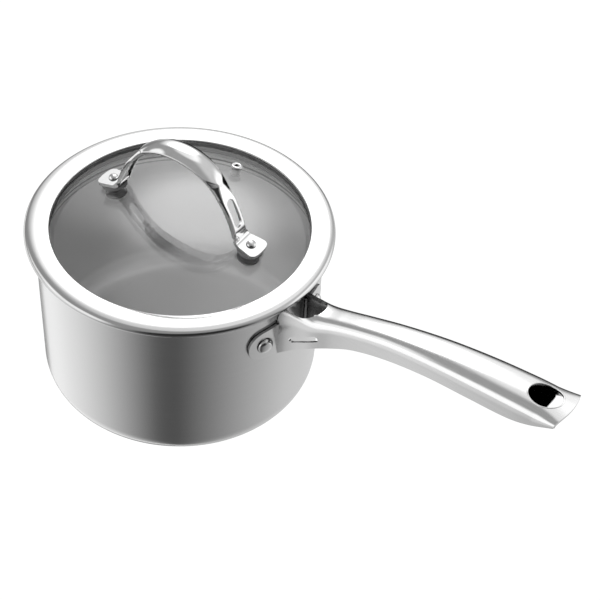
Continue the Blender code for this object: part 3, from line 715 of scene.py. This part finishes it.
def handle_ring(x):
    half_width, crown, edge, share = stations_at(x, HANDLE_STATIONS)
    outer = half_section(half_width, crown, edge, share, 0.0)
    inner = half_section(half_width, crown, edge, share, HANDLE_SHEET)
    outside = outer[:-1] + [(-y, z) for y, z in reversed(outer)]
    inside = inner[:-1] + [(-y, z) for y, z in reversed(inner)]
    return [(end_bow(y, x), y, z) for y, z in outside + list(reversed(inside))]


def crown_height(x, y):
    """Height of the handle's outer face above a point."""
    half_width, crown, edge, share = stations_at(x, HANDLE_STATIONS)
    rise = round_rise(half_width, crown, edge, share)
    across = min(1.0, abs(y) / half_width) ** ROUNDNESS
    return crown - rise + rise * (1 - across) ** (1 / ROUNDNESS)


def wing(side, matrix):
    """The rounded plate that hugs the wall on one side of the handle's root."""
    inner = PAN_RADIUS - WING_OVERLAP
    outer = PAN_RADIUS + GAP + WING_SHEET
    low, high = WING_HEIGHTS
    pad = turned("wing", [(inner, high), (outer, high), (outer, low), (inner, low)],
                 closed=True)
    outline = arc((0.0, 0.0), WING_RADIUS, 90, 270, 32)
    outline += [(NECK_REACH, -WING_RADIUS - NECK_BELOW), (NECK_REACH, WING_RADIUS + NECK_ABOVE)]
    if side > 0:
        outline = [(-x, y) for x, y in reversed(outline)]
    boolean(pad, prism(outline, WING_CUT, matrix), "INTERSECT")
    return pad


def handle_top():
    count = 150
    start = HANDLE_STATIONS[0][0]
    stops = [start + (HANDLE_STATIONS[-1][0] - start) * i / count for i in range(count + 1)]
    obj = shell_loft("handle_top", [handle_ring(x) for x in stops])
    for side, matrix in wall_frames():
        boolean(obj, wing(side, matrix), "UNION")
    notch = [(NOTCH_CENTRE, NOTCH_RADIUS), (NOTCH_START, NOTCH_RADIUS),
             (NOTCH_START, -NOTCH_RADIUS)]
    notch += arc((NOTCH_CENTRE, 0.0), NOTCH_RADIUS, -90, 87, 40)
    boolean(obj, prism(notch, 2 * THROUGH, Matrix.Translation((0.0, 0.0, NOTCH_LEVEL))))
    wall = PAN_RADIUS + GAP
    bottom, top = CLEAR_HEIGHTS
    low, high = RIM_CLEAR_HEIGHTS
    boolean(obj, turned("cutter", [(0.0, top), (RIM_CLEAR_RADIUS, top), (RIM_CLEAR_RADIUS, high),
                                   (wall, low), (wall, bottom), (0.0, bottom)]))
    wall_holes(obj)
    x, z = SIDE_SLOT_CENTRE
    matrix = Matrix.Translation((x, 0.0, z))
    matrix = matrix @ Matrix.Rotation(-math.radians(SIDE_SLOT_LEAN), 4, "Y")
    matrix = matrix @ Matrix.Rotation(math.radians(90), 4, "X")
    boolean(obj, prism(slot_outline(*SIDE_SLOT_SIZE), THROUGH, matrix))
    x, half_length, half_width = HANGING_HOLE
    turns = [2 * math.pi * i / 96 for i in range(96)]
    boolean(obj, prism([(half_length * math.cos(t), half_width * math.sin(t)) for t in turns],
                       THROUGH, Matrix.Translation((x, 0.0, HANGING_HOLE_LEVEL))))
    finished(obj, HANDLE, "pan", ["handle_upper_shell"])


def hole_edge():
    """The hanging hole's rolled edge: a thin bead that follows the crown."""
    x, half_length, half_width = HANGING_HOLE
    turns, sides = 128, 12
    centre_line = []
    for i in range(turns):
        t = 2 * math.pi * i / turns
        px, py = x + half_length * math.cos(t), half_width * math.sin(t)
        centre_line.append(Vector((px, py, crown_height(px, py) - HOLE_BEAD_SINK)))
    points = []
    for i, centre in enumerate(centre_line):
        ahead = centre_line[(i + 1) % turns] - centre_line[i - 1]
        across = ahead.cross(Vector((0.0, 0.0, 1.0))).normalized()
        up = across.cross(ahead).normalized()
        points += [centre + (across * math.cos(a) + up * math.sin(a)) * HOLE_BEAD
                   for a in (2 * math.pi * k / sides for k in range(sides))]
    faces = [(i * sides + k, i * sides + (k + 1) % sides,
              (i + 1) % turns * sides + (k + 1) % sides, (i + 1) % turns * sides + k)
             for i in range(turns) for k in range(sides)]
    obj = mesh_object("hole_edge", points, faces)
    outward(obj)
    finished(obj, STRAP, "pan", [])


def handle_tray():
    """The lower shell: a shallow tray between the upper shell's side walls."""
    count = 110
    rings = []
    for i in range(count + 1):
        x = TRAY_START + (TRAY_END - TRAY_START) * i / count
        half_width, _, edge, _ = stations_at(x, HANDLE_STATIONS)
        width = half_width - HANDLE_SHEET - GAP
        centre = (width - TRAY_CORNER, edge - TRAY_SAG + TRAY_CORNER)
        outer = [(width, edge + TRAY_WALL)] + arc(centre, TRAY_CORNER, 0, -90, 10)
        inner = [(width - TRAY_SHEET, edge + TRAY_WALL)]
        inner += arc(centre, TRAY_CORNER - TRAY_SHEET, 0, -90, 10)
        outside = outer + [(-y, z) for y, z in reversed(outer)]
        inside = inner + [(-y, z) for y, z in reversed(inner)]
        rings.append([(x, y, z) for y, z in outside + list(reversed(inside))])
    obj = shell_loft("handle_tray", rings)
    finished(obj, HANDLE, "pan", ["handle_lower_shell"])


def domed_rivet(name, matrix, shank, head, top, length, tail, nodes, body):
    """A rivet with a domed head on top and a flat tail; each is a radius and a height."""
    steps = 14
    dome = [(head[0] * math.cos(a), top + head[1] * math.sin(a))
            for a in (0.5 * math.pi * (1 - i / steps) for i in range(1, steps + 1))]
    bottom = top - length
    profile = [(0.0, top + head[1])] + dome
    profile += [(shank, top), (shank, bottom), (tail[0], bottom), (tail[0], bottom - tail[1]),
                (0.0, bottom - tail[1])]
    obj = turned(name, profile, steps=SMALL_STEPS, matrix=matrix)
    finished(obj, RIVET, body, nodes)


def handle_rivets():
    wall = OUTER_LAYER + CORE_LAYER + INNER_LAYER + 2 * GAP
    top = WING_SHEET + 2 * GAP
    for side, matrix in wall_frames():
        label = "left" if side > 0 else "right"
        domed_rivet(f"wall_rivet_{label}", matrix, HANDLE_SHANK, HANDLE_HEAD, top,
                    top + wall + 2 * GAP, HANDLE_TAIL, [f"handle_rivet_{label}"], "pan")


# --- lid ----------------------------------------------------------------------
def dome_radius():
    rise = GLASS_TOP - GLASS_EDGE_TOP
    return (GLASS_RADIUS**2 + rise**2) / (2 * rise)


def dome_height(radius):
    sphere = dome_radius()
    return GLASS_TOP - sphere + math.sqrt(sphere**2 - radius**2)


def dome_frame(distance, angle):
    tilt = math.asin(distance / dome_radius())
    spot = Matrix.Rotation(angle, 4, "Z")
    spot = spot @ Matrix.Translation((distance, 0.0, dome_height(distance)))
    return spot @ Matrix.Rotation(tilt, 4, "Y")


def lid_spots():
    return {"front": dome_frame(LID_RIVET_DISTANCE, LID_HANDLE_ANGLE),
            "back": dome_frame(LID_RIVET_DISTANCE, LID_HANDLE_ANGLE + math.pi)}


def glass():
    radii = [GLASS_RADIUS * i / 36 for i in range(37)]
    profile = [(r, dome_height(r)) for r in radii]
    profile += [(r, dome_height(r) - GLASS_THICKNESS) for r in reversed(radii)]
    obj = turned("glass_dome", profile)
    for matrix in lid_spots().values():
        boolean(obj, cylinder(LID_SHANK + 2 * GAP, GLASS_CUT, matrix, 32))
    matrix = dome_frame(VENT_DISTANCE, VENT_ANGLE)
    boolean(obj, cylinder(VENT_BARREL + GAP, GLASS_CUT, matrix, 32))
    finished(obj, GLASS, "lid", ["lid_glass"])


def lid_band():
    """The broad band, folded round the glass edge, and the skirt that fits into the pan."""
    skirt_in = SKIRT_RADIUS - RIM_SHEET
    low, high = SHELF_HEIGHTS
    outer_curve = arc((SKIRT_RADIUS + SKIRT_FILLET, BAND_FLOOR - SKIRT_FILLET), SKIRT_FILLET,
                      90, 180, 8)
    inner_curve = arc((skirt_in + SKIRT_FILLET_INSIDE, BAND_FLOOR + RIM_SHEET
                       - SKIRT_FILLET_INSIDE), SKIRT_FILLET_INSIDE, 180, 90, 8)
    profile = smooth_line(BAND_OVER, 8) + outer_curve + [
        (SKIRT_RADIUS, SKIRT_BOTTOM + SKIRT_EDGE), (SKIRT_RADIUS - SKIRT_EDGE, SKIRT_BOTTOM),
        (skirt_in + SKIRT_EDGE, SKIRT_BOTTOM), (skirt_in, SKIRT_BOTTOM + SKIRT_EDGE),
        (skirt_in, low), (SHELF_RADIUS, low), (SHELF_RADIUS, high), (skirt_in, high)]
    profile += inner_curve + smooth_line(BAND_UNDER, 6)
    obj = turned("lid_band", profile, closed=True)
    finished(obj, BAND, "lid", ["lid_rim"])


def seal():
    obj = turned("lid_gasket_ring", SEAL_PROFILE, closed=True)
    finished(obj, SEAL, "lid", ["lid_seal"])


def vent():
    """The steel eyelet on top, and the part of it that is seen through the glass."""
    matrix = dome_frame(VENT_DISTANCE, VENT_ANGLE)
    profile = smooth_line(VENT_TOP, 6) + [(VENT_BARREL, GAP), (VENT_BARREL, VENT_JOIN),
                                          (VENT_BORE, VENT_JOIN)]
    obj = turned("steam_vent", profile, closed=True, steps=SMALL_STEPS, matrix=matrix)
    finished(obj, STRAP, "lid", ["lid_vent"])
    under = -GLASS_THICKNESS - GAP
    flange, sheet = VENT_FLANGE
    profile = [(VENT_BORE, VENT_JOIN), (VENT_BARREL, VENT_JOIN), (VENT_BARREL, under),
               (flange, under), (flange, under - sheet), (VENT_BORE, under - sheet)]
    obj = turned("vent_barrel", profile, closed=True, steps=SMALL_STEPS, matrix=matrix)
    finished(obj, PALE_SEAL, "lid", ["lid_vent"])


def washer(name, material, radius, low, sheet, matrix, nodes):
    bore, high = LID_SHANK + GAP, low + sheet
    profile = [(bore, high), (radius - WASHER_EDGE, high), (radius, high - WASHER_EDGE),
               (radius, low + WASHER_EDGE), (radius - WASHER_EDGE, low), (bore, low)]
    obj = turned(name, profile, closed=True, steps=SMALL_STEPS, matrix=matrix)
    finished(obj, material, "lid", nodes)


def fastenings():
    """Pad, gasket, washer and rivet at each foot, in the order they stack."""
    top = FOOT_LEVEL + FOOT_SHEET + GAP
    gasket = -GLASS_THICKNESS - GAP - GASKET_SHEET
    steel_washer = gasket - GAP - WASHER_SHEET
    tail = steel_washer - GAP
    for label, matrix in lid_spots().items():
        washer(f"foot_pad_{label}", PAD, PAD_RADIUS, GAP, PAD_SHEET,
               matrix, [f"lid_foot_pad_{label}"])
        washer(f"under_gasket_{label}", PAD, GASKET_RADIUS, gasket, GASKET_SHEET,
               matrix, [f"lid_gasket_{label}"])
        washer(f"under_washer_{label}", RIVET, WASHER_RADIUS, steel_washer,
               WASHER_SHEET, matrix, [f"lid_washer_{label}"])
        domed_rivet(f"foot_rivet_{label}", matrix, LID_SHANK, LID_HEAD, top, top - tail,
                    LID_TAIL, [f"lid_rivet_{label}"], "lid")


# --- lid handle ---------------------------------------------------------------
def foot_stations():
    level = FOOT_LEVEL + FOOT_SHEET
    matrix = dome_frame(LID_RIVET_DISTANCE, 0.0)
    rows = []
    for x, lift, width in FOOT_SPOTS:
        spot = matrix @ Vector((x, 0.0, level + lift))
        rows.append((spot.x, spot.z, width, 0.0, 0.0))
    return rows


def smooth_step(value, low, high):
    t = max(0.0, min(1.0, (value - low) / (high - low)))
    return t * t * (3.0 - 2.0 * t)


def strap_lift(u, share, crown):
    """Height of the outer face over the edges: a full crown over the grip with a round nose,
    then a flat leg whose shoulders start wide apart from the nose down."""
    rounding = math.sqrt(max(0.0, 1 - (share / NOSE_ROUNDING) ** 2))
    nose = NOSE_END - NOSE_LENGTH * (1 - rounding)
    held = 1.0 - smooth_step(abs(u), nose + NOSE_FADE[0], nose + NOSE_FADE[1])
    bulge = crown * (1 - share ** CROWN_POWER)
    reach = smooth_step(abs(u), NOSE_END + SHOULDER_RUN[0], NOSE_END + SHOULDER_RUN[1])
    inner = SHOULDER_START + SHOULDER_SPREAD * reach
    shoulder = SHOULDER_DROP * (1 - SHOULDER_FADE * reach) * smooth_step(share, inner, 1.0)
    if abs(u) < NOSE_END - NOSE_LENGTH + SHOULDER_RUN[0]:
        shoulder = 0.0
    return held * bulge + (1.0 - held) * (LEG_CROWN * crown - shoulder)


def strap_section(u, width, crown, depth, sheet):
    """(across, lift) points along the outside, then back along the inside. The strap's edges
    turn down by depth; a foot has none."""
    steps = 40
    upper, lower = EDGE_SHARES
    outside = [(-width, -depth), (-width, -lower * depth), (-width, -upper * depth)]
    for i in range(steps + 1):
        share = -EDGE_START + 2 * EDGE_START * i / steps
        lift = strap_lift(u, abs(share), crown) if depth > 0.0 else 0.0
        outside.append((share * width, max(lift, -EDGE_DROP[0] * depth - EDGE_DROP[1])))
    outside += [(width, -upper * depth), (width, -lower * depth), (width, -depth)]
    low = min(n for _, n in outside)
    if low < -depth:
        outside[0] = (-width, low - EDGE_LIP)
        outside[-1] = (width, low - EDGE_LIP)
    inside = []
    for v, n in outside:
        if abs(v) > EDGE_SIDE * width and depth > 0.0:
            inside.append((v - math.copysign(min(sheet, STRAP_SHEET), v),
                           min(n, -depth * 0.5) if n < -0.5 * depth else n - sheet))
        else:
            reach = width - sheet if depth > 0.0 else width
            inside.append((math.copysign(min(abs(v), reach), v), n - sheet))
    return outside + list(reversed(inside))


def mirrored(rows):
    """Both halves of the strap from its right half."""
    return [(-row[0], *row[1:]) for row in reversed(rows[1:])] + list(rows)


def swept(name, rows, section):
    """Sections set square to the line of the rows' first two numbers, in the lid's handle
    plane; section gives the (across, lift) points of one row."""
    rings = []
    for i, row in enumerate(rows):
        before, after = rows[max(i - 1, 0)], rows[min(i + 1, len(rows) - 1)]
        tangent = Vector((after[0] - before[0], after[1] - before[1])).normalized()
        normal = Vector((-tangent.y, tangent.x))
        rings.append([Vector((row[0] + normal.x * n, v, row[1] + normal.y * n))
                      for v, n in section(row)])
    obj = shell_loft(name, rings)
    obj.data.transform(Matrix.Rotation(LID_HANDLE_ANGLE, 4, "Z"))
    return obj


def strap():
    def section(row):
        u, _, width, crown, depth = row
        depth, sheet = max(depth, 0.0), STRAP_SHEET
        if depth < FOOT_DEPTH:
            sheet += (FOOT_SHEET - STRAP_SHEET) * (1 - depth / FOOT_BLEND)
        return strap_section(u, width, max(crown, 0.0), depth, sheet)

    obj = swept("lid_strap", smooth_line(mirrored(list(STRAP_STATIONS) + foot_stations()), 7),
                section)
    u, z, lean = LEG_SLOT
    for spin in (0.0, math.pi):
        matrix = Matrix.Rotation(LID_HANDLE_ANGLE + spin, 4, "Z")
        matrix = matrix @ Matrix.Translation((u, 0.0, z))
        matrix = matrix @ Matrix.Rotation(math.radians(90.0 - lean), 4, "Y")
        boolean(obj, prism(slot_outline(*LEG_SLOT_SIZE), STRAP_CUT, matrix))
    for matrix in lid_spots().values():
        matrix = matrix @ Matrix.Translation((0.0, 0.0, FOOT_CUT_LEVEL))
        boolean(obj, cylinder(LID_SHANK + GAP, FOOT_CUT, matrix, 32))
    finished(obj, STRAP, "lid", ["lid_handle_outer"])


def strap_liner():
    """The strip that closes the arch from below."""
    drop = STRAP_SHEET + GAP

    def section(row):
        width = row[2] - drop
        return [(-width, -drop), (width, -drop), (width, -drop - LINER_SHEET),
                (-width, -drop - LINER_SHEET)]

    rows = [row[:3] for row in mirrored(STRAP_STATIONS[:LINER_STATIONS])]
    obj = swept("strap_liner", smooth_line(rows, 5), section)
    finished(obj, STRAP, "lid", ["lid_handle_inner"])


def core():
    node = frame["nodes"]["pan_core"]
    node.data.materials.clear()
    node.data.materials.append(CORE)


# --- stage --------------------------------------------------------------------
def camera():
    azimuth, pitch, roll = (math.radians(a) for a in CAMERA_TURN)
    forward = Vector((0.0, math.cos(pitch), -math.sin(pitch)))
    right = Vector((1.0, 0.0, 0.0))
    up = Vector((0.0, math.sin(pitch), math.cos(pitch)))
    right, up = (right * math.cos(roll) - up * math.sin(roll),
                 right * math.sin(roll) + up * math.cos(roll))
    data = bpy.data.cameras.new("camera")
    data.lens = CAMERA_LENS
    data.sensor_width = 36.0
    data.clip_start = 0.01
    obj = bpy.data.objects.new("camera", data)
    bpy.context.scene.collection.objects.link(obj)
    turn = Matrix.Rotation(azimuth, 3, "Z")
    matrix = (turn @ Matrix((right, up, -forward)).transposed()).to_4x4()
    matrix.translation = CAMERA_PLACE
    obj.matrix_world = matrix
    bpy.context.scene.camera = obj


def direction(azimuth, elevation):
    azimuth, elevation = math.radians(azimuth), math.radians(elevation)
    return Vector((math.cos(azimuth) * math.cos(elevation),
                   math.sin(azimuth) * math.cos(elevation), math.sin(elevation)))


def stage_surface(obj, nodes, share, first, second):
    """Fades between two shaders and gives the piece the material."""
    surface = nodes.mixed("ShaderNodeMixShader", share, first.outputs[0], second.outputs[0])
    nodes.put(nodes.tree.nodes["Material Output"], "Surface", surface)
    obj.data.materials.append(nodes.material)


def floor():
    """A plain white floor. The steel sees the studio's lower half in its place."""
    size = FLOOR_SIZE
    obj = mesh_object("floor", [(-size, -size, 0.0), (size, -size, 0.0), (size, size, 0.0),
                                (-size, size, 0.0)], [(0, 1, 2, 3)])
    obj.location.z = -FLOOR_DROP
    nodes = Nodes("white_floor")
    camera_ray = nodes.add("ShaderNodeLightPath").outputs["Is Camera Ray"]
    seen = nodes.add("ShaderNodeEmission", Color=(1.0, 1.0, 1.0, 1.0), Strength=WHITE)
    felt = nodes.add("ShaderNodeBsdfTransparent")
    stage_surface(obj, nodes, camera_ray, felt, seen)


def soft_panel():
    """A round lamp panel behind the pan, fading out towards its edge."""
    way = direction(*PANEL_DIRECTION)
    steps = 48
    ring = [(PANEL_RADIUS * math.cos(2 * math.pi * k / steps),
             PANEL_RADIUS * math.sin(2 * math.pi * k / steps), 0.0) for k in range(steps)]
    obj = mesh_object("soft_panel", ring, [tuple(range(steps))])
    obj.matrix_world = (Matrix.Translation(Vector((0.0, 0.0, RIM_TOP)) + way * PANEL_DISTANCE)
                        @ way.to_track_quat("Z", "Y").to_matrix().to_4x4())
    obj.visible_camera = False
    nodes = Nodes("soft_panel")
    x, y, _ = nodes.position()
    faded = nodes.fade(nodes.radius(x, y), PANEL_CORE, PANEL_RADIUS, 1.0)
    lamp = nodes.add("ShaderNodeEmission", Color=(1.0, 1.0, 1.0, 1.0), Strength=PANEL_STRENGTH)
    clear = nodes.add("ShaderNodeBsdfTransparent")
    stage_surface(obj, nodes, faded, lamp, clear)


def fill_light():
    """A wide soft light from the camera's side, for the matt surfaces inside the pan."""
    data = bpy.data.lights.new("fill", "SUN")
    data.energy = FILL_ENERGY
    data.angle = math.radians(FILL_ANGLE)
    obj = bpy.data.objects.new("fill", data)
    obj.rotation_euler = direction(*FILL_DIRECTION).to_track_quat("Z", "Y").to_euler()
    obj.visible_glossy = False
    bpy.context.scene.collection.objects.link(obj)


def world():
    """The studio: dim above with soft lights, and a floor that is darkest on one side."""
    scene = bpy.context.scene
    scene.world = bpy.data.worlds.new("studio")
    scene.world.use_nodes = True
    nodes = Shorthand(scene.world.node_tree)
    tree = nodes.tree
    way = nodes.add("ShaderNodeTexCoord").outputs["Generated"]
    x, y, z = nodes.add("ShaderNodeSeparateXYZ", Vector=way).outputs
    turn = nodes.math("ADD", nodes.math("DIVIDE", nodes.math("ARCTAN2", y, x), 2 * math.pi), 0.5)
    low = nodes.math("MULTIPLY", FLOOR_LEVEL,
                     nodes.ramp(turn, [((a + 180.0) / 360.0, v) for a, v in FLOOR_TONES]))
    high = nodes.ramp(z, SKY_TONES)

    def with_lobes(tone, lights):
        for azimuth, elevation, core_angle, edge_angle, strength in lights:
            aim = nodes.add("ShaderNodeVectorMath")
            aim.operation = "DOT_PRODUCT"
            nodes.put(aim, 0, way)
            nodes.put(aim, 1, direction(azimuth, elevation))
            lobe = nodes.fade(aim.outputs["Value"], math.cos(math.radians(edge_angle)),
                              math.cos(math.radians(core_angle)), strength)
            tone = nodes.math("ADD", tone, lobe)
        return tone

    low, high = with_lobes(low, FLOOR_LIGHTS), with_lobes(high, SOFT_LIGHTS)
    share = nodes.fade(z, *HORIZON, 1.0)
    total = nodes.math("ADD", nodes.math("MULTIPLY", high, share),
                       nodes.math("MULTIPLY", low, nodes.math("SUBTRACT", 1.0, share)))
    felt = tree.nodes["Background"]
    nodes.put(felt, "Color", nodes.math("MAXIMUM", total, DARKEST))
    seen = nodes.add("ShaderNodeBackground", Color=(1.0, 1.0, 1.0, 1.0), Strength=WHITE)
    camera_ray = nodes.add("ShaderNodeLightPath").outputs["Is Camera Ray"]
    surface = nodes.mixed("ShaderNodeMixShader", camera_ray, felt.outputs[0], seen.outputs[0])
    nodes.put(tree.nodes["World Output"], "Surface", surface)


def main():
    pan_outside()
    pan_inside()
    core()
    handle_top()
    hole_edge()
    handle_tray()
    handle_rivets()
    glass()
    lid_band()
    seal()
    vent()
    fastenings()
    strap()
    strap_liner()
    camera()
    floor()
    soft_panel()
    fill_light()
    world()
    bpy.context.scene.view_settings.view_transform = "Standard"


main()
